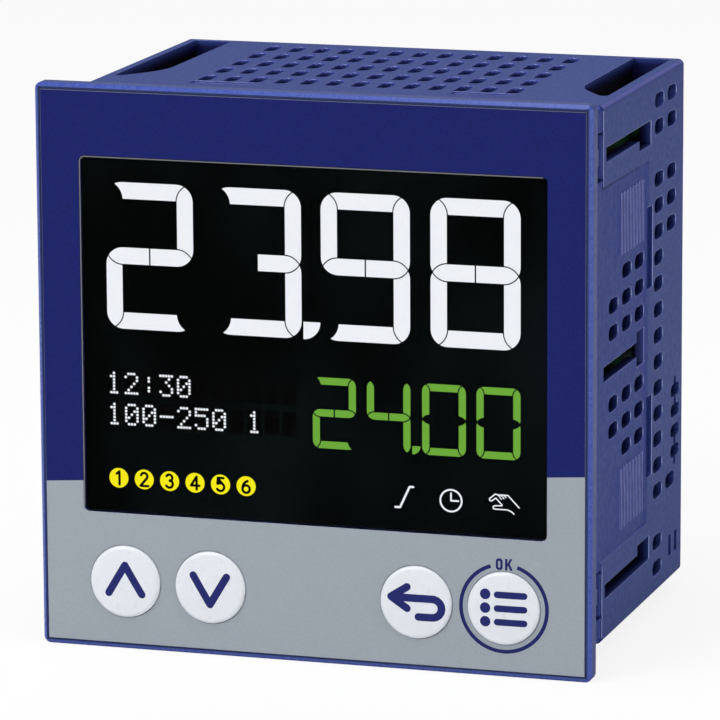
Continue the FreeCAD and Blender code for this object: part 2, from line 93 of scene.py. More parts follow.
HOUSING_HALF = 45.5  # half the width and height of the sleeve
HOUSING_REAR = node_box("housing")[1].y


# ---------------- mesh tools

def piece(name, mesh, body, slot, *materials, smooth=False):
    """Object from a mesh in millimetres, riding on a body."""
    bmesh.ops.recalc_face_normals(mesh, faces=mesh.faces)
    mesh.transform(Matrix.Scale(MM, 4))
    data = bpy.data.meshes.new(name)
    mesh.to_mesh(data)
    mesh.free()
    for material in materials:
        data.materials.append(material)
    obj = bpy.data.objects.new(name, data)
    scene.collection.objects.link(obj)
    if smooth:
        data.shade_smooth()
        modifier = obj.modifiers.new("normals", "WEIGHTED_NORMAL")
        modifier.weight = 50
    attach(obj, body)
    return obj


def solid_copy(node, split=None):
    """The node's mesh in millimetres, with one vertex at each corner and no edges but seams in its flats."""
    mesh = bmesh.new()
    mesh.from_mesh(frame["nodes"][node].data)
    mesh.transform(Matrix.Scale(1 / MM, 4))
    bmesh.ops.remove_doubles(mesh, verts=mesh.verts, dist=ONE_CORNER)
    if split:
        split(mesh)
    bmesh.ops.dissolve_limit(mesh, angle_limit=math.radians(ONE_FLAT), verts=mesh.verts, edges=mesh.edges,
                             delimit={"SEAM"})
    return mesh


def round_edges(mesh, edges, width, steps):
    """Rounds the given edges."""
    bmesh.ops.bevel(mesh, geom=edges, offset=width, offset_type="OFFSET", segments=steps, profile=0.5,
                    affect="EDGES", clamp_overlap=False)


def sharp_edges(mesh, degrees=30):
    """Edges whose two faces meet at more than an angle."""
    limit = math.radians(degrees)
    return [e for e in mesh.edges if len(e.link_faces) == 2 and e.calc_face_angle() > limit]


def absorb(mesh, part):
    """Moves all of one mesh into another."""
    scratch = bpy.data.meshes.new("part")
    part.to_mesh(scratch)
    part.free()
    mesh.from_mesh(scratch)
    bpy.data.meshes.remove(scratch)


def box(mesh, low, high):
    """Adds a block between two corners."""
    size = [b - a for a, b in zip(low, high)]
    middle = [(a + b) / 2 for a, b in zip(low, high)]
    place = Matrix.Translation(middle) @ Matrix.Diagonal((*size, 1))
    bmesh.ops.create_cube(mesh, size=1, matrix=place)


def plate(mesh, outline, front, back):
    """Adds a flat plate of a closed outline of (x, z) points, between two depths."""
    near = [mesh.verts.new((x, front, z)) for x, z in outline]
    far = [mesh.verts.new((x, back, z)) for x, z in outline]
    mesh.faces.new(near)
    mesh.faces.new(far[::-1])
    for i in range(len(outline)):
        mesh.faces.new((near[i - 1], far[i - 1], far[i], near[i]))


def ring_plate(mesh, outer, inner, front, back):
    """Adds a flat ring between two outlines with as many points each."""
    loops = [[mesh.verts.new((x, y, z)) for x, z in outline]
             for outline, y in ((outer, front), (inner, front), (inner, back), (outer, back))]
    for k in range(4):
        here, there = loops[k], loops[(k + 1) % 4]
        for i in range(len(outer)):
            mesh.faces.new((here[i - 1], here[i], there[i], there[i - 1]))


def arc(x, z, radius, start, end, steps=8):
    """Points on an arc, from one angle in degrees to another."""
    angles = [math.radians(start + (end - start) * i / steps) for i in range(steps + 1)]
    return [(x + radius * math.cos(a), z + radius * math.sin(a)) for a in angles]


def circle(x, z, radius, steps=48):
    """Points round a circle."""
    return arc(x, z, radius, 0, 360, steps)[:-1]


def rounded_rect(x0, z0, x1, z1, radius, steps=8):
    """Outline of a rectangle with round corners."""
    return (arc(x1 - radius, z1 - radius, radius, 0, 90, steps)
            + arc(x0 + radius, z1 - radius, radius, 90, 180, steps)
            + arc(x0 + radius, z0 + radius, radius, 180, 270, steps)
            + arc(x1 - radius, z0 + radius, radius, 270, 360, steps))


def shrunk(outline, width):
    """The outline moved inwards by a width; the outline runs either way round."""
    points = [Vector(p) for p in outline]
    area = sum(a.cross(b) for a, b in zip(points[-1:] + points[:-1], points))
    side = 1 if area > 0 else -1
    moved = []
    for i, point in enumerate(points):
        before = (point - points[i - 1]).normalized()
        after = (points[(i + 1) % len(points)] - point).normalized()
        n0 = Vector((-before.y, before.x)) * side
        n1 = Vector((-after.y, after.x)) * side
        spread = max(1 + n0.dot(n1), 0.35)
        moved.append(tuple(point + (n0 + n1) * (width / spread)))
    return moved


def stroke(points, width, steps=6):
    """Outline of a line with round ends and round outer corners."""
    half = width / 2

    def fan(centre, start, end):
        first = math.degrees(math.atan2(start.y, start.x))
        turn = math.degrees(-start.angle_signed(end)) if start.dot(end) > -0.999 * half * half else -180
        return arc(centre.x, centre.y, half, first, first + turn, steps)

    def left_side(path):
        outline = []
        for a, b, c in zip(path, path[1:], path[2:]):
            d0, d1 = (b - a).normalized(), (c - b).normalized()
            n0, n1 = Vector((-d0.y, d0.x)) * half, Vector((-d1.y, d1.x)) * half
            if d0.cross(d1) < -0.5:
                outline += fan(b, n0, n1)
            else:
                outline.append(tuple(b + (n0 + n1) / (1 + n0.dot(n1) / (half * half))))
        d = (path[-1] - path[-2]).normalized()
        n = Vector((-d.y, d.x)) * half
        return outline + arc(path[-1].x, path[-1].y, half, math.degrees(math.atan2(n.y, n.x)),
                             math.degrees(math.atan2(n.y, n.x)) - 180, steps)

    path = [Vector(p) for p in points]
    return left_side(path) + left_side(path[::-1])


# ---------------- materials

def new_material(name, color, roughness, **inputs):
    """Material with one shader; further inputs are named with an underscore for each space."""
    material = bpy.data.materials.new(name)
    material.use_nodes = True
    nodes = material.node_tree.nodes
    shader = nodes["Principled BSDF"]
    shader.inputs["Base Color"].default_value = (*color, 1)
    shader.inputs["Roughness"].default_value = roughness
    for key, value in inputs.items():
        shader.inputs[key.replace("_", " ")].default_value = value
    return material


def link(material, output, target):
    """Joins a node's output to another's input."""
    material.node_tree.links.new(output, target)


def add_node(material, kind, **settings):
    """New node; each setting is one of its inputs, or else one of its properties."""
    node = material.node_tree.nodes.new(kind)
    for key, value in settings.items():
        if key in node.inputs:
            node.inputs[key].default_value = value
        else:
            setattr(node, key, value)
    return node


def object_space(material):
    """The object's own coordinates."""
    return add_node(material, "ShaderNodeTexCoord").outputs["Object"]


def combined(material, operation, *values):
    """Result of a sum over outputs and numbers."""
    node = add_node(material, "ShaderNodeMath", operation=operation)
    for socket, value in zip(node.inputs, values):
        if isinstance(value, float):
            socket.default_value = value
        else:
            link(material, value, socket)
    return node.outputs[0]


def noise(material, scale, detail=2.0, roughness=0.5, stretch=(1, 1, 1)):
    """Noise in the object's own space, in features per metre."""
    mapping = add_node(material, "ShaderNodeMapping", Scale=stretch)
    texture = add_node(material, "ShaderNodeTexNoise", Scale=scale, Detail=detail, Roughness=roughness)
    link(material, object_space(material), mapping.inputs["Vector"])
    link(material, mapping.outputs["Vector"], texture.inputs["Vector"])
    return texture.outputs["Fac"]


def bands(material, source, *stops):
    """Value or colour that runs through several stops of (position, value or colour)."""
    node = add_node(material, "ShaderNodeValToRGB")
    elements = node.color_ramp.elements
    while len(elements) < len(stops):
        elements.new(0.5)
    for element, (position, color) in zip(elements, stops):
        element.position = position
        element.color = (*color, 1) if isinstance(color, tuple) else (color, color, color, 1)
    link(material, source, node.inputs["Fac"])
    return node.outputs["Color"]


def ramp(material, source, low, high, dark, light):
    """Value or colour that runs from dark to light as the source runs from low to high."""
    return bands(material, source, (low, dark), (high, light))


def tinted(color, factor):
    """The colour made darker or lighter."""
    return tuple(min(c * factor, 1) for c in color)


def finish(material, color, scale, spread, rough=None, bump=None):
    """Gives a material its mottled colour, range of roughness and grain (scale, strength, depth in metres)."""
    shader = material.node_tree.nodes["Principled BSDF"]
    mottle = noise(material, scale, 3)
    link(material, ramp(material, mottle, 0.3, 0.7, tinted(color, 1 - spread), tinted(color, 1 + spread)),
         shader.inputs["Base Color"])
    if rough:
        link(material, ramp(material, noise(material, scale * 2.3, 2), 0.3, 0.7, rough[0], rough[1]),
             shader.inputs["Roughness"])
    if bump:
        grain = noise(material, bump[0], 2, 0.6)
        node = add_node(material, "ShaderNodeBump", Strength=bump[1], Distance=bump[2])
        link(material, grain, node.inputs["Height"])
        link(material, node.outputs["Normal"], shader.inputs["Normal"])
    return material


def plastic(name, color, roughness, spread=0.06, grain=None, scale=400, **inputs):
    """Material that is mottled by a share of its colour, with a grain or without."""
    material = new_material(name, color, roughness, **inputs)
    return finish(material, color, scale, spread, (roughness * 0.88, min(roughness * 1.12, 1)), grain)


def glow(name, color, strength):
    """Lit segment or lamp: its light is its colour."""
    material = new_material(name, (0.0005, 0.0005, 0.0005), 0.4, Specular_IOR_Level=0.01)
    shader = material.node_tree.nodes["Principled BSDF"]
    link(material, ramp(material, noise(material, 900, 1), 0.2, 0.8, tinted(color, 0.97), color),
         shader.inputs["Emission Color"])
    shader.inputs["Emission Strength"].default_value = strength
    return material


BLUE = (0.036, 0.058, 0.208)  # outer faces
SHALLOW_SHADE_BLUE = (0.028, 0.048, 0.220)  # painted shade just below the outer faces
TUNNEL_SHADE_BLUE = (0.007, 0.012, 0.080)  # painted shade on the walls of the openings
INSIDE_SHADE_BLUE = (0.0008, 0.0012, 0.006)  # painted shade on the inner faces
SHADE_DEPTH = 2.1  # painted shade darkens the walls' colour down to this depth
BOARD_GREEN = (0.004, 0.022, 0.008)
FLOOR_WHITE = (0.9, 0.9, 0.9)
bezel_blue = plastic("bezel_blue", BLUE, 0.45, 0.04, (5200, 0.25, 0.00004), Specular_IOR_Level=0.25)
# flange's front rim: a glossier finish, and a brighter blue that is a painted highlight
rim_highlight_blue = plastic("rim_highlight_blue", (0.036, 0.068, 0.345), 0.28, 0.03, (5200, 0.03, 0.00003), Specular_IOR_Level=0.4)
# rounded outer edges of the sleeve: a glossier finish, and a brighter blue that paints in the light they catch
edge_blue = plastic("edge_blue", (0.030, 0.046, 0.33), 0.20, 0.04, (5200, 0.04, 0.00003), Specular_IOR_Level=0.9)
# pale painted highlight on front-facing edges and rib crests
crest_highlight_blue = plastic("crest_highlight_blue", (0.30, 0.34, 0.66), 0.35, 0.12)
# painted shadow line under the lowered field's upper step
shade_blue = plastic("shade_blue", (0.010, 0.016, 0.11), 0.6, 0.05, Specular_IOR_Level=0.1)
film_blue = plastic("film_blue", (0.0085, 0.0135, 0.116), 0.42, 0.14, (3800, 0.10, 0.00003), 2600,
                    Specular_IOR_Level=0.07)
film_edge = plastic("film_edge", (0.10, 0.125, 0.19), 0.3, 0.05, Specular_IOR_Level=0.3)
film_grey = plastic("film_grey", (0.298, 0.332, 0.370), 0.42, 0.035, (3800, 0.10, 0.00003), 2600,
                    Specular_IOR_Level=0.2)
film_print = plastic("film_print", (0.0115, 0.016, 0.11), 0.4, 0.05, Specular_IOR_Level=0.1)
edge_highlight_grey = plastic("edge_highlight_grey", (0.16, 0.16, 0.175), 0.35, 0.05, Specular_IOR_Level=0.2)
key_white = plastic("key_white", (0.685, 0.72, 0.765), 0.30, 0.012, (2600, 0.02, 0.00003))
key_print = plastic("key_print", (0.0115, 0.016, 0.125), 0.36, 0.05, Specular_IOR_Level=0.15)
black_plastic = plastic("black_plastic", (0.012, 0.012, 0.013), 0.45, 0.1, (4500, 0.2, 0.00004))
terminal_black = plastic("terminal_black", (0.016, 0.016, 0.018), 0.40, 0.1, (4200, 0.2, 0.00004))
switch_black = plastic("switch_black", (0.02, 0.02, 0.021), 0.5, 0.1, (5000, 0.2, 0.00003))
ivory = plastic("ivory", (0.72, 0.68, 0.55), 0.5, 0.05, (3000, 0.1, 0.00003))
guide_white = plastic("guide_white", (0.78, 0.80, 0.80), 0.35, 0.02)
relay_cream = plastic("relay_cream", (0.50, 0.49, 0.44), 0.45, 0.04, (3500, 0.15, 0.00003))
ferrite = plastic("ferrite", (0.03, 0.03, 0.032), 0.55, 0.15, (2500, 0.4, 0.00006))
tape_yellow = plastic("tape_yellow", (0.60, 0.40, 0.03), 0.3, 0.06)
sleeve_dark = plastic("sleeve_dark", (0.012, 0.015, 0.028), 0.28, 0.08)
film_ochre = plastic("film_ochre", (0.42, 0.24, 0.04), 0.3, 0.08, (1800, 0.15, 0.00004))
nickel = plastic("nickel", (0.62, 0.60, 0.55), 0.28, 0.08, (2200, 0.12, 0.00003), Metallic=1.0)


def housing_material():
    """Spark-eroded blue plastic, with painted shade that darkens a face the deeper it lies under the walls."""
    material = new_material("housing_blue", BLUE, 0.55, Specular_IOR_Level=0.1)
    shader = material.node_tree.nodes["Principled BSDF"]
    parts = add_node(material, "ShaderNodeSeparateXYZ")
    link(material, object_space(material), parts.inputs["Vector"])
    sides = [combined(material, "ABSOLUTE", combined(material, "SUBTRACT", parts.outputs[axis], middle))
             for axis, middle in (("X", 0.0), ("Z", 0.0), ("Y", (HOUSING_REAR - HOUSING_HALF) * MM))]
    reach = combined(material, "MAXIMUM", combined(material, "MAXIMUM", *sides[:2]), sides[2])
    depth = add_node(material, "ShaderNodeMapRange")
    depth.inputs["From Min"].default_value = (HOUSING_HALF - SHADE_DEPTH) * MM
    depth.inputs["From Max"].default_value = HOUSING_HALF * MM
    link(material, reach, depth.inputs["Value"])
    grain = ramp(material, noise(material, 2600, 3, 0.7), 0.34, 0.70, 0.86, 1.0)
    shade = combined(material, "MULTIPLY", depth.outputs["Result"], grain)
    # painted shade: the colour darkens with depth under the outer faces
    link(material, bands(material, shade, (0.0, INSIDE_SHADE_BLUE), (0.42, TUNNEL_SHADE_BLUE), (0.79, SHALLOW_SHADE_BLUE),
                         (0.93, BLUE), (1.0, tinted(BLUE, 1.35))), shader.inputs["Base Color"])
    link(material, ramp(material, noise(material, 900, 2), 0.3, 0.7, 0.48, 0.62), shader.inputs["Roughness"])
    bump = add_node(material, "ShaderNodeBump", Strength=0.4, Distance=0.00006)
    link(material, noise(material, 5200, 2, 0.6), bump.inputs["Height"])
    link(material, bump.outputs["Normal"], shader.inputs["Normal"])
    return material


def board_material():
    """Green solder mask over copper tracks that show as paler lines."""
    material = plastic("board_green", BOARD_GREEN, 0.32, 0.12)
    shader = material.node_tree.nodes["Principled BSDF"]
    tracks = add_node(material, "ShaderNodeTexBrick", Scale=170.0, Color1=(*BOARD_GREEN, 1),
                      Color2=(0.006, 0.034, 0.012, 1), Mortar=(0.010, 0.055, 0.02, 1))
    tracks.inputs["Mortar Size"].default_value = 0.06
    turn = add_node(material, "ShaderNodeMapping", Rotation=(0, math.radians(90), 0))
    link(material, object_space(material), turn.inputs["Vector"])
    link(material, turn.outputs["Vector"], tracks.inputs["Vector"])
    link(material, tracks.outputs["Color"], shader.inputs["Base Color"])
    return material


def lcd_material():
    """Black liquid-crystal panel with a faint uneven glow from behind it, whose clouds are painted reflection
    streaks.
    """
    material = new_material("lcd_black", (0.0004, 0.0005, 0.0005), 0.3, Specular_IOR_Level=0.01)
    shader = material.node_tree.nodes["Principled BSDF"]
    # painted reflection: faint glowing streaks across the panel
    painted_streaks = noise(material, 38, 1.5, 0.5, (1.0, 1.0, 0.7))
    link(material, ramp(material, painted_streaks, 0.42, 0.72, (0.0001, 0.0002, 0.0002), (0.0022, 0.0042, 0.0046)),
         shader.inputs["Emission Color"])
    shader.inputs["Emission Strength"].default_value = 1.0
    return material


def pane_material():
    """Clear hard-coated pane."""
    material = new_material("clear_pane", (0.97, 0.98, 0.98), 0.03, IOR=1.03, Transmission_Weight=1.0)
    shader = material.node_tree.nodes["Principled BSDF"]
    link(material, ramp(material, noise(material, 120, 2), 0.3, 0.7, 0.02, 0.05), shader.inputs["Roughness"])
    return material


housing_blue = housing_material()
board_green = board_material()
lcd_black = lcd_material()
clear_pane = pane_material()
glow_white = glow("glow_white", (0.84, 0.85, 0.90), 1.06)
glow_green = glow("glow_green", (0.145, 0.37, 0.042), 1.08)
glow_yellow = glow("glow_yellow", (0.95, 0.84, 0.010), 1.0)
cell_black = glow("cell_black", (0.0005, 0.0005, 0.0005), 1.0)


# ---------------- moulded pieces

def refined(node, name, slot, materials, rim, steps=2, split=None, prepare=None, assign=None, share=None):
    """Stands for a rigid node, with its edges rounded as a moulding's are; share says how much an edge gets."""
    mesh = solid_copy(node, split)
    if prepare:
        prepare(mesh)
    if share:
        round_edges(mesh, [e for e in sharp_edges(mesh) if 0 < share(e) < 1], rim * FINE, 1)
        mesh.normal_update()
        round_edges(mesh, [e for e in sharp_edges(mesh) if share(e) == 1], rim, steps)
    else:
        round_edges(mesh, sharp_edges(mesh), rim, steps)
    if assign:
        assign(mesh)
    obj = piece(name, mesh, frame["nodes"][node]["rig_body"], slot, *materials, smooth=True)
    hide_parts(node)
    return obj


VENT_ROW_PITCH = 4.55  # of the side walls' vents
VENT_ROWS = 9  # above and below the middle one
VENT_COLUMN_PITCH = 4.517  # of the top's vents
VENT_COLUMNS = 6  # right and left of the middle one
VENT_SHORTEST, VENT_LONGEST = 2.0, 7.0
VENT_END_ROUND = 0.5
VENT_RIM = 0.26
WALL_INSIDE = 43.2  # every wall lies further out than this
WALL_SKIN = 0.5  # the walls' outer faces lie no deeper than this
LEVEL_STEP = 0.2  # a face deeper than this lies below the outermost one
EDGE_BAND = 0.42  # the rounded edges on the outside lie no deeper than this
RIB_BAND = 0.3  # the same at the ribs
FIELD_HALF = 31.5  # half the height of the side walls' lowered fields
FIELD_STEP = 0.35
FIELD_FLAT = 0.03  # what the slope leaves of this step
FIELD_REAR = 46.0
FIELD_SHADE = 0.28  # width of the painted shadow line in the upper corner of the lowered field
RIBS_FRONT, RIBS_REAR, RIBS_LOW = 25.5, 42.0, 17.0
NOTCHES_FRONT, NOTCHES_HIGH, NOTCHES_LOW = 56.0, -9.0, -42.5  # the right wall's small openings and marks
SKIRT_END = 13.2  # where the side walls step out, behind the flange
SKIRT_LATCH = 1.3  # length of the latch windows' edges ahead of this step
TRACKS_HALF = 43.5  # the step runs out into the corners beyond it
HOUSING_RIM = 0.1
BEZEL_RIM = 0.045
BLOCK_RIM = 0.12
FINE = 0.25  # part of the rim that closely set edges get
FLANGE_TIPS, FLANGE_SLANT = 46.7, -2.45  # the tips of its front edges lie beyond both
FLANGE_EDGE = 46.5  # its slanted front edge lies beyond it


def cut_walls(mesh, point, normal, inside, axis):
    """Cuts the faces of the two walls across an axis at a plane; the cut is marked so that it stays."""
    faces = [f for f in mesh.faces if all(abs(v.co[axis]) > inside for v in f.verts)]
    edges = list({e for f in faces for e in f.edges})
    verts = list({v for f in faces for v in f.verts})
    cut = bmesh.ops.bisect_plane(mesh, geom=verts + edges + faces, dist=0.001, plane_co=point, plane_no=normal)
    for element in cut["geom_cut"]:
        if isinstance(element, bmesh.types.BMEdge):
            element.seam = True


def split_walls(mesh):
    """Cuts the walls through their vents, so that no flat surrounds one, and where their look or level changes."""
    for across, wall, pitch, count in ((2, 0, VENT_ROW_PITCH, VENT_ROWS), (0, 2, VENT_COLUMN_PITCH, VENT_COLUMNS)):
        normal = Vector((0, 0, 0))
        normal[across] = 1
        for k in range(-count, count + 1):
            cut_walls(mesh, normal * (k * pitch), normal, WALL_INSIDE, wall)
    # cut that bounds the painted shadow line under the field's upper step
    cut_walls(mesh, (0, 0, FIELD_HALF - FIELD_SHADE), (0, 0, 1), HOUSING_HALF - WALL_SKIN, 0)
    cut_walls(mesh, (0, SKIRT_END, 0), (0, 1, 0), HOUSING_HALF - WALL_SKIN, 0)


def round_vent_ends(mesh):
    """Turns the three flats at each end of a vent into a curve."""
    ends = []
    for edge in mesh.edges:
        if len(edge.link_faces) != 2 or not math.radians(25) < edge.calc_face_angle() < math.radians(65):
            continue
        near, far = (vert.co for vert in edge.verts)
        along = (far - near).normalized()
        for axis in (0, 2):
            if abs(along[axis]) > 0.999 and min(abs(near[axis]), abs(far[axis])) > WALL_INSIDE - 0.3:
                ends.append(edge)
    round_edges(mesh, ends, VENT_END_ROUND, 3)


def loops_of(edges):
    """The edges in groups that hang together."""
    left = set(edges)
    groups = []
    while left:
        group = [left.pop()]
        for edge in group:
            for vert in edge.verts:
                for other in vert.link_edges:
                    if other in left:
                        left.remove(other)
                        group.append(other)
        groups.append(group)
    return groups


def soften_vent_rims(mesh):
    """Rounds the outer rims of the top's and the bottom's vents."""
    outer = [e for e in sharp_edges(mesh, 60) if min(abs(v.co.z) for v in e.verts) > HOUSING_HALF - 0.1
             and any(abs(f.normal.z) > 0.99 for f in e.link_faces)]
    rims = []
    for group in loops_of(outer):
        points = [v.co for e in group for v in e.verts]
        spans = [max(p[k] for p in points) - min(p[k] for p in points) for k in range(3)]
        if VENT_SHORTEST < max(spans) < VENT_LONGEST and spans[2] < 0.05 and len(group) > 12:
            rims += group
    round_edges(mesh, rims, VENT_RIM, 4)


def rim_share(edge):
    """How much of the rim an edge of the sleeve gets; where edges lie close together it is little or none."""
    slack = 0.1
    ends = [v.co for v in edge.verts]
    at_step_corner = all(min(abs(p.x), abs(p.z)) > TRACKS_HALF and abs(p.y - SKIRT_END) < slack for p in ends)
    at_latch = all(WALL_INSIDE < abs(p.x) < HOUSING_HALF - LEVEL_STEP
                   and SKIRT_END - SKIRT_LATCH < p.y < SKIRT_END + slack for p in ends)
    at_notches = all(p.x > WALL_INSIDE - 0.5 and p.y > NOTCHES_FRONT and NOTCHES_LOW < p.z < NOTCHES_HIGH
                     for p in ends)
    at_field_step = all(abs(p.x) > HOUSING_HALF - WALL_SKIN
                        and abs(abs(p.z) - FIELD_HALF) < FIELD_STEP + slack / 2 for p in ends)
    return 0 if at_step_corner else FINE if at_latch or at_notches or at_field_step else 1


def flange_share(edge):
    """The same for the flange: its front edges meet in tips at the corners."""
    at_tip = all(min(abs(v.co.x), abs(v.co.z)) > FLANGE_TIPS and v.co.y < FLANGE_SLANT for v in edge.verts)
    return 0 if at_tip else 1


def slope_field_step(mesh):
    """Slopes the step down to the side walls' lowered fields, along their upper and lower ends."""
    steps = [e for e in sharp_edges(mesh, 60) if abs((e.verts[1].co - e.verts[0].co).normalized().y) > 0.99
             and all(abs(v.co.x) > HOUSING_HALF - 0.05 and abs(abs(v.co.z) - FIELD_HALF) < 0.1 for v in e.verts)]
    round_edges(mesh, steps, FIELD_STEP - FIELD_FLAT, 1)


def shape_openings(mesh):
    """Shapes the vents' ends and rims and the fields' steps, one after another."""
    round_vent_ends(mesh)
    mesh.normal_update()
    soften_vent_rims(mesh)
    mesh.normal_update()
    slope_field_step(mesh)
    mesh.normal_update()


WALL, EDGE, CREST, SHADE = range(4)  # places of the sleeve's materials


def gloss_edges_and_paint_light(mesh):
    """Gives rounded outer edges a glossier finish and a brighter blue that paints in their light, front-facing
    edges a pale painted highlight, and the lowered field a painted shadow line under its upper step.
    """
    mesh.normal_update()
    for face in mesh.faces:
        middle = face.calc_center_median()
        reach = max(abs(middle.x), abs(middle.z), middle.y - HOUSING_REAR + HOUSING_HALF)
        outside = reach > HOUSING_HALF - EDGE_BAND
        rounded = max(abs(c) for c in face.normal) < 0.93
        ribbed = RIBS_FRONT < middle.y < RIBS_REAR and RIBS_LOW < abs(middle.z) < FIELD_HALF
        frontal = face.normal.y < -0.3 and abs(face.normal.z) < 0.3
        crest = frontal and abs(middle.x) > HOUSING_HALF - (RIB_BAND if ribbed else EDGE_BAND)
        at_step = -FIELD_SHADE < middle.z - FIELD_HALF < FIELD_STEP and SKIRT_END < middle.y < FIELD_REAR
        on_wall = abs(middle.x) > HOUSING_HALF - WALL_SKIN
        lowered = on_wall and abs(middle.x) < HOUSING_HALF - LEVEL_STEP
        # painted shadow line under the lowered field's upper step
        if at_step and (lowered and abs(face.normal.x) > 0.9 or on_wall and face.normal.z < -0.3):
            face.material_index = SHADE
        # rounded edges get painted light; front-facing ones a pale painted highlight
        elif outside and rounded:
            face.material_index = CREST if crest else EDGE
        else:
            face.material_index = WALL


def paint_rim_highlight(mesh):
    """Gives the flange's slanted front edge a glossier finish and a brighter blue that is a painted highlight."""
    mesh.normal_update()
    for face in mesh.faces:
        slanted = -0.95 < face.normal.y < -0.25 and max(abs(c) for c in face.calc_center_median()) > FLANGE_EDGE
        face.material_index = int(slanted)


refined("housing", "housing_moulding", "housing_plastic", [housing_blue, edge_blue, crest_highlight_blue, shade_blue],
        HOUSING_RIM, split=split_walls, prepare=shape_openings, assign=gloss_edges_and_paint_light, share=rim_share)
refined("front_bezel", "bezel_moulding", "bezel_plastic", [bezel_blue, rim_highlight_blue], BEZEL_RIM,
        assign=paint_rim_highlight, share=flange_share)
for side in SIDES:
    refined("terminal_block_" + side, "plug_block_" + side, "terminal_plastic", [terminal_black], BLOCK_RIM)

materials_of_nodes = {
    "lcd_panel": lcd_black,
    "display_frame": black_plastic,
    "backlight": guide_white,
    "display_board": board_green,
    "transformer_core": ferrite,
    "transformer_coil": tape_yellow,
    "can_capacitor": sleeve_dark,
    "film_capacitor": film_ochre,
}
for board in ("right", "left", "option"):
    materials_of_nodes[board + "_board"] = board_green
    materials_of_nodes[board + "_header"] = black_plastic
for number in "123":
    materials_of_nodes["relay_" + number] = relay_cream
for key in KEYS:
    materials_of_nodes["plunger_" + key] = ivory
    materials_of_nodes["switch_" + key] = switch_black
for side in SIDES:
    materials_of_nodes["terminal_strip_" + side] = terminal_black
for node, material in materials_of_nodes.items():
    data = frame["nodes"][node].data
    data.materials.clear()
    data.materials.append(material)


# ---------------- printed front film, with a painted highlight along the window's edge

overlay_low, overlay_high = node_box("front_overlay")
window_low, window_high = node_box("display_window")
film_front = overlay_low.y
PRINT_T = 0.02
FILM_OFFSET = 0.12  # the film lies a little low and to the left in its recess, which
FILM_REACH = 0.06  # widens the gap to the flange above and to the right
FILM_RIM = 0.1
FILM_RIM_BAND = 0.4
BOUNDARY_SLOPE = 0.069  # the blue field's lower edge rises towards the right
BOUNDARY_MIDDLE = -16.55
HIGHLIGHT_OUTSIDE, HIGHLIGHT_OUTSIDE_R = 0.04, 0.98  # painted highlight line past the window, and over it
HIGHLIGHT_INSIDE, HIGHLIGHT_INSIDE_R = 0.14, 0.8
HIGHLIGHT_RIGHT, HIGHLIGHT_BELOW = 0.6, 0.8  # where it ends, ahead of the window's corners
RING_OUTER_R, RING_INNER_R = 7.68, 7.05
RING_OPENING = 18  # degrees either side of its top
LETTERS_UP = 6.45  # letters' foot above the middle of the menu key
LETTER_H = 1.95
LETTER_STROKE = 0.39
LETTER_O_X, LETTER_O_HALF, LETTER_O_R, LETTER_O_INNER_R = -0.8, 0.58, 0.5, 0.17
LETTER_K_X = 0.2
LETTER_K = ((0, 0), (0.4, 0), (0.4, 0.6), (0.53, 0.83), (0.86, 0), (1.3, 0), (0.8, 1.12), (1.24, LETTER_H),
            (0.83, LETTER_H), (0.4, 1.12), (0.4, LETTER_H), (0, LETTER_H))


def make_film():
    """Film with its blue field above and grey field below a slanted line."""
    mesh = solid_copy("front_overlay")
    for vert in mesh.verts:
        for axis in (0, 2):
            if vert.co[axis] > overlay_high[axis] - NEAR:
                vert.co[axis] -= FILM_OFFSET
            elif vert.co[axis] < overlay_low[axis] + NEAR:
                vert.co[axis] -= FILM_REACH
    round_edges(mesh, sharp_edges(mesh), FILM_RIM, 2)
    mesh.normal_update()
    normal = Vector((-BOUNDARY_SLOPE, 0, 1))
    whole = mesh.verts[:] + mesh.edges[:] + mesh.faces[:]
    bmesh.ops.bisect_plane(mesh, geom=whole, plane_co=(0, 0, BOUNDARY_MIDDLE), plane_no=normal)
    for face in mesh.faces:
        middle = face.calc_center_median()
        below_line = (middle - Vector((0, 0, BOUNDARY_MIDDLE))).dot(normal) < 0
        at_rim = max(abs(middle.x), abs(middle.z)) > overlay_high.x - FILM_RIM_BAND and face.normal.y > -0.98
        face.material_index = 2 if at_rim else 1 if below_line else 0
    obj = piece("overlay_film_sheet", mesh, "unit", "overlay_film", film_blue, film_grey, film_edge, smooth=True)
    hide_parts("front_overlay")


def make_window_edge_highlight():
    """Thin grey line up the left side of the display window and over its top: a painted highlight along the
    window's edge, lit from the upper left.
    """
    mesh = bmesh.new()

    def arch(outset, radius):
        left, top = window_low.x - outset, window_high.z + outset
        return ([(window_high.x - HIGHLIGHT_RIGHT, top)] + arc(left + radius, top - radius, radius, 90, 180)
                + [(left, window_low.z + HIGHLIGHT_BELOW)])

    outline = arch(HIGHLIGHT_OUTSIDE, HIGHLIGHT_OUTSIDE_R) + arch(-HIGHLIGHT_INSIDE, HIGHLIGHT_INSIDE_R)[::-1]
    plate(mesh, outline, film_front - PRINT_T, film_front)
    piece("window_edge_highlight", mesh, "unit", "overlay_film", edge_highlight_grey)


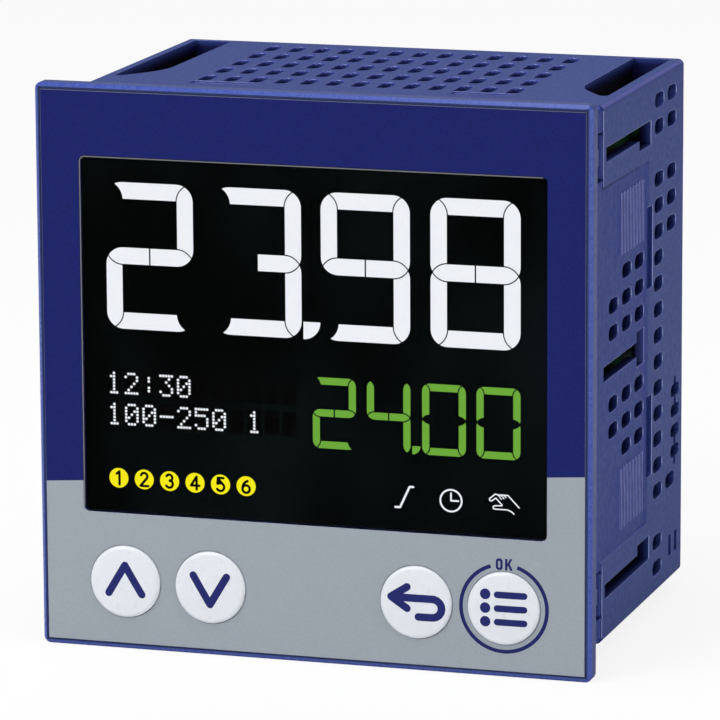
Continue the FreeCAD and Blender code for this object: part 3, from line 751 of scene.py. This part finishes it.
def make_menu_ring():
    """Ring printed round the menu key, with two letters in its opening at the top."""
    low, high = node_box("key_menu")
    x, z = (low.x + high.x) / 2, (low.z + high.z) / 2
    start, end = 90 + RING_OPENING, 450 - RING_OPENING
    mesh = bmesh.new()
    outline = arc(x, z, RING_OUTER_R, start, end, 90) + arc(x, z, RING_INNER_R, end, start, 90)
    plate(mesh, outline, film_front - PRINT_T, film_front)
    foot = z + LETTERS_UP
    o_x, o_inner = x + LETTER_O_X, LETTER_O_HALF - LETTER_STROKE
    outer = rounded_rect(o_x - LETTER_O_HALF, foot, o_x + LETTER_O_HALF, foot + LETTER_H, LETTER_O_R)
    inner = rounded_rect(o_x - o_inner, foot + LETTER_STROKE, o_x + o_inner, foot + LETTER_H - LETTER_STROKE,
                         LETTER_O_INNER_R)
    ring_plate(mesh, outer, inner, film_front - PRINT_T, film_front)
    letter_k = [(x + LETTER_K_X + px, foot + pz) for px, pz in LETTER_K]
    plate(mesh, letter_k, film_front - PRINT_T, film_front)
    piece("menu_ring_print", mesh, "unit", "overlay_film", film_print)


make_film()
make_window_edge_highlight()
make_menu_ring()


# ---------------- display

lcd_front = node_box("lcd_panel")[0].y
PANE_AIR = 0.03  # between the pane and the panel behind it
PANE_RIM = 0.06
GLYPH_T = 0.012  # thickness of whatever is lit on the panel


def make_pane():
    """Clear pane, its back just clear of the panel behind it."""
    mesh = solid_copy("display_window")
    for vert in mesh.verts:
        if vert.co.y > (window_low.y + window_high.y) / 2:
            vert.co.y -= PANE_AIR
    round_edges(mesh, sharp_edges(mesh), PANE_RIM, 2)
    obj = piece("window_pane_clear", mesh, "unit", "window_pane", clear_pane, smooth=True)
    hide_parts("display_window")


DIGIT_THICK = 3.0  # thickness of the larger number's segments
SEGMENT_GAP = 0.068 * DIGIT_THICK
ACTUAL = {"digits": "2398", "lefts": (-36.05, -17.25, 1.45, 20.25), "z0": 6.78, "width": 15.5, "height": 25.0,
          "thick": DIGIT_THICK, "point_x": -1.55}
SET_POINT = {"digits": "2400", "lefts": (-0.15, 9.25, 18.75, 28.05), "z0": -11.5, "width": 7.7, "height": 12.2,
             "thick": 1.43, "point_x": 17.15}
POINT_R = 0.98  # of the decimal point, for a thickness of one
SEGMENTS_OF = {"0": "abcdef", "2": "abged", "3": "abrcd", "4": "fbgc", "8": "abcdefg", "9": "abcdfg"}


def segments(digit, x0, z0, width, height, thick):
    """Outlines of a digit's lit segments; their ends are pointed arches."""
    t, mid = thick, height / 2
    top, upper, lower = height - t, mid + t / 2, mid - t / 2
    half = width / 2 - SEGMENT_GAP / 8
    upright = (arc(t, lower, t, 90, 150) + arc(t, upper, t, 210, 180)[1:]
               + arc(t, top, t, 180, 120) + arc(0, top, t, 60, 0)[1:])
    bar = (arc(0, top, t, 0, 60) + arc(t, top, t, 120, 90)[1:]
           + arc(width - t, top, t, 90, 60) + arc(width, top, t, 120, 180)[1:])
    half_bar = [(half, upper)] + arc(t, lower, t, 90, 150) + arc(t, upper, t, 210, 270)[1:] + [(half, lower)]

    def flipped(outline, in_x, in_z):
        return [(width - x if in_x else x, height - z if in_z else z) for x, z in outline]

    shapes = {
        "f": [upright],
        "b": [flipped(upright, True, False)],
        "e": [flipped(upright, False, True)],
        "c": [flipped(upright, True, True)],
        "a": [bar],
        "d": [flipped(bar, False, True)],
        "r": [flipped(half_bar, True, False)],
        "g": [half_bar, flipped(half_bar, True, False)],
    }
    lit = [outline for name in SEGMENTS_OF[digit] for outline in shapes[name]]
    return [[(x0 + x, z0 + z) for x, z in shrunk(outline, SEGMENT_GAP / 2)] for outline in lit]


def make_reading(name, material, digits, lefts, z0, width, height, thick, point_x):
    """One number in lit segments, with its decimal point."""
    mesh = bmesh.new()
    for digit, left in zip(digits, lefts):
        for outline in segments(digit, left, z0, width, height, thick):
            plate(mesh, outline, lcd_front - GLYPH_T, lcd_front)
    point = [(point_x, z0 + thick)] + arc(point_x, z0 + thick, thick * POINT_R, 0, -90, 10)
    plate(mesh, point, lcd_front - GLYPH_T, lcd_front)
    piece(name, mesh, "unit", "lcd_glass", material)


# Five by seven dots for each sign, one string a row.
DOTS = {
    "0": (" ### ", "#   #", "#  ##", "# # #", "##  #", "#   #", " ### "),
    "1": ("  #  ", " ##  ", "  #  ", "  #  ", "  #  ", "  #  ", " ### "),
    "2": (" ### ", "#   #", "    #", "   # ", "  #  ", " #   ", "#####"),
    "3": ("#####", "   # ", "  #  ", "   # ", "    #", "#   #", " ### "),
    "5": ("#####", "#    ", "#### ", "    #", "    #", "#   #", " ### "),
    ":": ("     ", "  #  ", "  #  ", "     ", "  #  ", "  #  ", "     "),
    "-": ("     ", "     ", "     ", "#####", "     ", "     ", "     "),
}
MATRIX_LEFT = -36.15
MATRIX_PITCH = 3.083
MATRIX_CELLS = 11
MATRIX_ROWS = {"12:30": -2.42, "100-250 1": -7.72}
CELL_W, CELL_H = 2.45, 4.05
DOT_PITCH_X, DOT_PITCH_Z = 0.50, 0.55
DOT_R = 0.235
MIDDLE_COLUMN, MIDDLE_ROW = 2, 3


def make_matrix():
    """Two rows of dot-matrix cells, unlit and lit."""
    cells = bmesh.new()
    dots = bmesh.new()
    for text, middle in MATRIX_ROWS.items():
        for cell in range(MATRIX_CELLS):
            left = MATRIX_LEFT + cell * MATRIX_PITCH
            plate(cells, rounded_rect(left, middle - CELL_H / 2, left + CELL_W, middle + CELL_H / 2, 0.05, 1),
                  lcd_front - GLYPH_T / 2, lcd_front)
            rows = DOTS.get(text[cell:cell + 1], ())
            for r, row in enumerate(rows):
                for c, mark in enumerate(row):
                    if mark == "#":
                        x = left + CELL_W / 2 + (c - MIDDLE_COLUMN) * DOT_PITCH_X
                        z = middle - (r - MIDDLE_ROW) * DOT_PITCH_Z
                        plate(dots, circle(x, z, DOT_R, 12), lcd_front - 1.2 * GLYPH_T, lcd_front)
    piece("matrix_cells", cells, "unit", "lcd_glass", cell_black)
    piece("matrix_dots", dots, "unit", "lcd_glass", glow_white)


LAMPS = 6
LAMP_FIRST_X = -34.3
LAMP_PITCH = 4.5
LAMP_Z = -18.7
LAMP_R = 1.69
NUMERAL_H = 2.6
NUMERAL_W = 0.165  # stroke width for a height of one
NUMERALS = {
    "1": [[(-0.15, 0.27), (0.04, 0.43), (0.04, -0.43)]],
    "2": [arc(0, 0.21, 0.22, 165, -30, 10) + [(-0.25, -0.43), (0.27, -0.43)]],
    "3": [arc(-0.02, 0.22, 0.21, 150, -80, 10), arc(-0.02, -0.19, 0.24, 80, -150, 10)],
    "4": [[(0.11, -0.43), (0.11, 0.41), (-0.27, -0.18), (0.29, -0.18)]],
    "5": [[(0.2, 0.43), (-0.17, 0.43), (-0.21, 0.04)] + arc(-0.01, -0.17, 0.26, 125, -150, 12)],
    "6": [circle(0, -0.19, 0.245, 24) + [(0.245, -0.19)], arc(0.26, -0.14, 0.5, 108, 176, 8)],
}


def make_lamps():
    """Row of yellow discs with their numerals; strokes that cross lie at different heights."""
    discs = bmesh.new()
    figures = bmesh.new()
    for i in range(LAMPS):
        x = LAMP_FIRST_X + i * LAMP_PITCH
        plate(discs, circle(x, LAMP_Z, LAMP_R), lcd_front - GLYPH_T, lcd_front)
        for number, path in enumerate(NUMERALS[str(i + 1)]):
            placed = [(x + px * NUMERAL_H, LAMP_Z + pz * NUMERAL_H) for px, pz in path]
            front = lcd_front - (1.5 + 0.2 * number) * GLYPH_T
            plate(figures, stroke(placed, NUMERAL_W * NUMERAL_H), front, lcd_front - GLYPH_T / 2)
    piece("output_lamps", discs, "unit", "lcd_glass", glow_yellow)
    piece("output_numerals", figures, "unit", "lcd_glass", cell_black)


SYMBOLS_SHIFT_X, SYMBOLS_SHIFT_Z = -0.2, -0.1
RAMP_LINE = ((14.4, -20.45), (15.2, -20.45), (16.87, -16.9), (17.5, -16.9))
CLOCK_X, CLOCK_Z, CLOCK_R = 23.98, -18.78, 1.83
CLOCK_HAND = 1.25
CLOCK_HANDS = ((CLOCK_X, CLOCK_Z + CLOCK_HAND), (CLOCK_X, CLOCK_Z), (CLOCK_X + CLOCK_HAND, CLOCK_Z))
RAMP_W, RING_W, HANDS_W, PALM_W, FINGER_W = 0.36, 0.30, 0.29, 0.21, 0.18
# The hand from its wrist's upper end round the knuckles, index finger and thumb to the wrist's lower end.
PALM = ((35.64, -19.26), (33.72, -17.28), (33.27, -17.3), (32.83, -17.26), (32.02, -17.3), (31.57, -17.17),
        (30.55, -18.02), (30.62, -18.3), (30.9, -18.38), (31.66, -17.85), (32.72, -18.95), (32.62, -19.1),
        (31.5, -19.14), (31.2, -19.3), (31.22, -19.6), (31.45, -19.71), (33.63, -19.72), (34.26, -19.95),
        (34.75, -20.36))
FINGERS = (((32.1, -17.35), (32.6, -18.0)), ((32.6, -17.35), (33.02, -17.88)), ((33.05, -17.35), (33.4, -17.68)))


def make_symbols():
    """White symbols for ramp, timer and manual mode."""
    mesh = bmesh.new()
    front, back = lcd_front - GLYPH_T, lcd_front
    lines = [(RAMP_LINE, RAMP_W), (CLOCK_HANDS, HANDS_W), (PALM, PALM_W)] + [(f, FINGER_W) for f in FINGERS]
    for path, width in lines:
        moved = [(x + SYMBOLS_SHIFT_X, z + SYMBOLS_SHIFT_Z) for x, z in path]
        plate(mesh, stroke(moved, width), front, back)
    ring_plate(mesh, circle(CLOCK_X + SYMBOLS_SHIFT_X, CLOCK_Z + SYMBOLS_SHIFT_Z, CLOCK_R + RING_W / 2),
               circle(CLOCK_X + SYMBOLS_SHIFT_X, CLOCK_Z + SYMBOLS_SHIFT_Z, CLOCK_R - RING_W / 2), front, back)
    piece("mode_symbols", mesh, "unit", "lcd_glass", glow_white)


make_pane()
make_reading("reading_actual", glow_white, **ACTUAL)
make_reading("reading_target", glow_green, **SET_POINT)
make_matrix()
make_lamps()
make_symbols()


# ---------------- keys

KEY_CROWN = 0.20  # drop of the face from its middle to its rounded edge
KEY_EDGE = 0.85  # width of the rounded edge
KEY_EDGE_DROP = 0.60
KEY_GROWTH = 0.08  # cap's rim past the node's, into its clearance
KEY_CROWN_RINGS = 14  # rings of its mesh, if they went on to its edge
KEY_STEPS = 96
KEY_FACE_Y = -0.65  # the node's face lies ahead of it
MARK_T = 0.025
MARK_APART = 0.004  # strokes that cross lie this much apart
MARK_W = 1.3
MARK_CELL = 0.5  # longer edges of a mark's mesh are halved, three times at most
CHEVRON_SHIFT, CHEVRON_HALF = 0.14, 2.94
CHEVRONS = {"up": (2.93, -1.95), "down": (-2.78, 2.1)}  # height of the tip and of the ends
ARROW_TIP, ARROW_Z = -4.2, 0.85
ARROW_HEAD_X, ARROW_HEAD_UP, ARROW_HEAD_DOWN = -1.38, 2.68, -0.97
ARROW_SHAFT = -3.7
ARROW_BEND_X, ARROW_BEND_Z, ARROW_BEND_R = 2.96, -0.73, 1.58
ARROW_END = 0.56
LIST_PITCH, LIST_Z = 2.32, 0.1
LIST_DOT_X, LIST_DOT_R = -3.0, 0.9
LIST_LINE = (-0.95, 3.66)
LIST_LINE_W = 1.12


def key_face(radius, reach, front):
    """Depth of a key's face at a distance from its middle."""
    flat = reach - KEY_EDGE
    if radius <= flat:
        return front + KEY_CROWN * (radius / flat) ** 2
    part = min((radius - flat) / KEY_EDGE, 1)
    return front + KEY_CROWN + KEY_EDGE_DROP * (1 - math.sqrt(1 - part * part))


def key_marks(key, x, z):
    """Outlines of the mark on a key."""
    if key in CHEVRONS:
        x += CHEVRON_SHIFT
        tip, ends = CHEVRONS[key]
        return [stroke([(x - CHEVRON_HALF, z + ends), (x, z + tip), (x + CHEVRON_HALF, z + ends)], MARK_W)]
    if key == "back":
        bend = arc(x + ARROW_BEND_X, z + ARROW_BEND_Z, ARROW_BEND_R, 90, -90, 12)
        head = [(x + ARROW_HEAD_X, z + ARROW_HEAD_UP), (x + ARROW_TIP, z + ARROW_Z),
                (x + ARROW_HEAD_X, z + ARROW_HEAD_DOWN)]
        shaft = [(x + ARROW_SHAFT, z + ARROW_Z)] + bend + [(x + ARROW_END, z + ARROW_BEND_Z - ARROW_BEND_R)]
        return [stroke(head, MARK_W), stroke(shaft, MARK_W)]
    outlines = []
    for row in (-1, 0, 1):
        level = z + LIST_Z + row * LIST_PITCH
        outlines.append(circle(x + LIST_DOT_X, level, LIST_DOT_R, 24))
        outlines.append(stroke([(x + end, level) for end in LIST_LINE], LIST_LINE_W))
    return outlines


def conform(mesh, outlines, x, z, reach, front):
    """Adds marks that follow the crowned face."""
    for number, outline in enumerate(outlines):
        flat = bmesh.new()
        flat.faces.new([flat.verts.new((px, 0, pz)) for px, pz in outline])
        flat.normal_update()
        bmesh.ops.triangulate(flat, faces=flat.faces)
        for _ in range(3):
            long_edges = [e for e in flat.edges if e.calc_length() > MARK_CELL]
            if long_edges:
                bmesh.ops.subdivide_edges(flat, edges=long_edges, cuts=1)
                bmesh.ops.triangulate(flat, faces=[f for f in flat.faces if len(f.verts) > 3])
        lift = MARK_T + MARK_APART * number
        for vert in flat.verts:
            radius = math.hypot(vert.co.x - x, vert.co.z - z)
            vert.co.y = key_face(radius, reach, front) - lift
        extruded = bmesh.ops.extrude_face_region(flat, geom=flat.faces[:])
        for element in extruded["geom"]:
            if isinstance(element, bmesh.types.BMVert):
                element.co.y += lift + NEAR
        absorb(mesh, flat)


def make_key(key):
    """Crowned key cap on its stalk, with its printed mark."""
    node = "key_" + key
    low, high = node_box(node)
    x, z, front = (low.x + high.x) / 2, (low.z + high.z) / 2, low.y
    source = solid_copy(node)
    face_verts = [v for v in source.verts if v.co.y < KEY_FACE_Y]
    reach = max(math.hypot(v.co.x - x, v.co.z - z) for v in face_verts)
    back = max(v.co.y for v in source.verts if math.hypot(v.co.x - x, v.co.z - z) > reach - 0.05 and v.co.y < 0)
    cut = source.verts[:] + source.edges[:] + source.faces[:]
    bmesh.ops.bisect_plane(source, geom=cut, plane_co=(0, back + 0.02, 0), plane_no=(0, 1, 0), clear_inner=True)
    bmesh.ops.holes_fill(source, edges=[e for e in source.edges if e.is_boundary])
    reach += KEY_GROWTH
    flat = reach - KEY_EDGE
    radii = [reach * k / KEY_CROWN_RINGS for k in range(1, KEY_CROWN_RINGS)]
    radii = [r for r in radii if r < flat]
    radii += [flat + KEY_EDGE * math.sin(math.radians(a)) for a in range(0, 91, 15)]
    profile = [(r, key_face(r, reach, front + MARK_T)) for r in radii] + [(reach, back)]
    previous = None
    for r, y in profile:
        turns = [math.tau * i / KEY_STEPS for i in range(KEY_STEPS)]
        ring = [source.verts.new((x + r * math.cos(a), y, z + r * math.sin(a))) for a in turns]
        if previous is None:
            centre = source.verts.new((x, front + MARK_T, z))
            for i in range(KEY_STEPS):
                source.faces.new((centre, ring[i - 1], ring[i]))
        else:
            for i in range(KEY_STEPS):
                source.faces.new((previous[i - 1], previous[i], ring[i], ring[i - 1]))
        previous = ring
    source.faces.new(previous)
    cap = piece("key_cap_" + key, source, key + "_key", "key_plastic", key_white, smooth=True)
    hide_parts(node)
    marks = bmesh.new()
    conform(marks, key_marks(key, x, z), x, z, reach, front + MARK_T)
    piece("key_mark_" + key, marks, key + "_key", "key_plastic", key_print)


for key in KEYS:
    make_key(key)


# ---------------- terminals

POLES = 8
BLOCK_ENDS = 3.0  # length of a block that has no poles
WELL_X = 3.6  # wells of screws and of wires, each side of the block's middle
SCREW_R = 1.55
SCREW_T = 2.3
SCREW_RIM = 0.12
SCREW_SEAT = 5.6  # screw head's face below the rear
SLOT_HALF, SLOT_W = 1.7, 0.55
SCREW_TURN, SCREW_TURNS = 20, 47  # degrees; of the first slot, and from each to the next
SLOT_IN, SLOT_OUT = 0.05, 0.012
CLAMP_HALF, CLAMP_GAP_HALF = 1.75, 1.15
CLAMP_NEAR, CLAMP_FAR = 6.2, 7.9  # below the rear


def make_terminals(side):
    """Screws, each marked with its slot, and wire clamps of one plug block."""
    low, high = node_box("terminal_block_" + side)
    x, rear = (low.x + high.x) / 2, high.y
    pitch = (high.z - low.z - BLOCK_ENDS) / POLES
    screw_x, wire_x, seat = x + WELL_X, x - WELL_X, rear - SCREW_SEAT
    screws = bmesh.new()
    clamps = bmesh.new()
    for pole in range(POLES):
        z = (low.z + high.z) / 2 + (pole - (POLES - 1) / 2) * pitch
        place = Matrix.Translation((screw_x, seat - SCREW_T / 2, z)) @ Matrix.Rotation(math.radians(90), 4, "X")
        head = bmesh.new()
        bmesh.ops.create_cone(head, cap_ends=True, segments=32, radius1=SCREW_R, radius2=SCREW_R, depth=SCREW_T,
                              matrix=place)
        round_edges(head, sharp_edges(head), SCREW_RIM, 2)
        angle = math.radians(SCREW_TURN + pole * SCREW_TURNS)
        slot_x, slot_z = math.cos(angle), math.sin(angle)
        slot = [(a * SLOT_HALF, b * SLOT_W / 2) for a, b in CORNERS]
        outline = [(screw_x + a * slot_x - b * slot_z, z + a * slot_z + b * slot_x) for a, b in slot]
        plate(screws, outline, seat - SLOT_IN, seat + SLOT_OUT)
        absorb(screws, head)
        for start, end in ((-CLAMP_HALF, -CLAMP_GAP_HALF), (CLAMP_GAP_HALF, CLAMP_HALF)):
            box(clamps, (wire_x - CLAMP_HALF, rear - CLAMP_FAR, z + start),
                (wire_x + CLAMP_HALF, rear - CLAMP_NEAR, z + end))
    piece("terminal_screws_" + side, screws, "unit", "terminal_plastic", nickel, smooth=True)
    piece("wire_clamps_" + side, clamps, "unit", "terminal_plastic", nickel)


for side in SIDES:
    make_terminals(side)


# ---------------- floor, light and camera

TARGET = Vector((-2.50, 32.0, -3.47)) * MM
AZIMUTH, ELEVATION, ROLL = 17.455, 11.65, -0.305
DISTANCE = 934.05 * MM
FOCAL_LENGTH = 272.61
FLOOR_HALF = 4.0  # metres
FLOOR_OWN_LIGHT = 0.86  # share of it where the camera sees the floor
AMBIENT = 0.30


def towards(azimuth, elevation):
    """Unit vector from the object to a place round it."""
    a, e = math.radians(azimuth), math.radians(elevation)
    return Vector((math.sin(a) * math.cos(e), -math.cos(a) * math.cos(e), math.sin(e)))


def make_camera():
    """Long lens from the front, a little from the right and above."""
    data = bpy.data.cameras.new("camera")
    data.lens = FOCAL_LENGTH
    data.sensor_width = 36
    data.clip_start = 0.01
    camera = bpy.data.objects.new("camera", data)
    scene.collection.objects.link(camera)
    back = towards(AZIMUTH, ELEVATION)
    right = (-back).cross(Vector((0, 0, 1))).normalized()
    turn = Matrix.Rotation(math.radians(ROLL), 3, back)
    right = turn @ right
    axes = Matrix((right, back.cross(right), back)).transposed()
    camera.matrix_world = Matrix.LocRotScale(TARGET + back * DISTANCE, axes.to_quaternion(), None)
    scene.camera = camera


def make_floor():
    """Pale floor that takes soft shadows and runs out into the white background."""
    material = new_material("floor_white", FLOOR_WHITE, 0.8)
    nodes = material.node_tree.nodes
    shader = nodes["Principled BSDF"]
    finish(material, FLOOR_WHITE, 4, 0.004)
    light = add_node(material, "ShaderNodeEmission")
    path = add_node(material, "ShaderNodeLightPath")
    seen = combined(material, "MAXIMUM", path.outputs["Is Camera Ray"], path.outputs["Is Transmission Ray"])
    mix = add_node(material, "ShaderNodeMixShader")
    link(material, combined(material, "MULTIPLY", seen, FLOOR_OWN_LIGHT), mix.inputs["Fac"])
    link(material, shader.outputs[0], mix.inputs[1])
    link(material, light.outputs[0], mix.inputs[2])
    link(material, mix.outputs[0], nodes["Material Output"].inputs["Surface"])
    data = bpy.data.meshes.new("floor")
    z = cad_bounds[0][2]
    data.from_pydata([(x * FLOOR_HALF, y * FLOOR_HALF, z) for x, y in CORNERS], [], [(0, 1, 2, 3)])
    data.materials.append(material)
    floor = bpy.data.objects.new("floor", data)
    scene.collection.objects.link(floor)


def lamp(name, azimuth, elevation, distance, size, power):
    """Square area light that faces the object."""
    data = bpy.data.lights.new(name, "AREA")
    data.shape = "SQUARE"
    data.size = size
    data.energy = power
    obj = bpy.data.objects.new(name, data)
    scene.collection.objects.link(obj)
    direction = towards(azimuth, elevation)
    obj.location = direction * distance
    obj.rotation_euler = direction.to_track_quat("Z", "Y").to_euler()


def make_world():
    """White background that gives only part of its light to the object."""
    world = bpy.data.worlds.new("studio")
    scene.world = world
    world.use_nodes = True
    background = world.node_tree.nodes["Background"]
    background.inputs["Color"].default_value = (1, 1, 1, 1)
    path = add_node(world, "ShaderNodeLightPath")
    seen = combined(world, "MAXIMUM", path.outputs["Is Camera Ray"], path.outputs["Is Transmission Ray"])
    strength = add_node(world, "ShaderNodeMapRange")
    strength.inputs["To Min"].default_value = AMBIENT
    strength.inputs["To Max"].default_value = 1.0
    link(world, seen, strength.inputs["Value"])
    link(world, strength.outputs["Result"], background.inputs["Strength"])


make_camera()
make_floor()
make_world()
lamp("key_light", -35, 38, 1.0, 0.6, 6.3)
lamp("side_light", 75, 10, 1.0, 0.6, 3.0)
lamp("top_light", 0, 82, 1.1, 0.5, 4.6)
lamp("back_light", 190, 50, 1.2, 0.7, 2.0)
scene.view_settings.view_transform = "Standard"
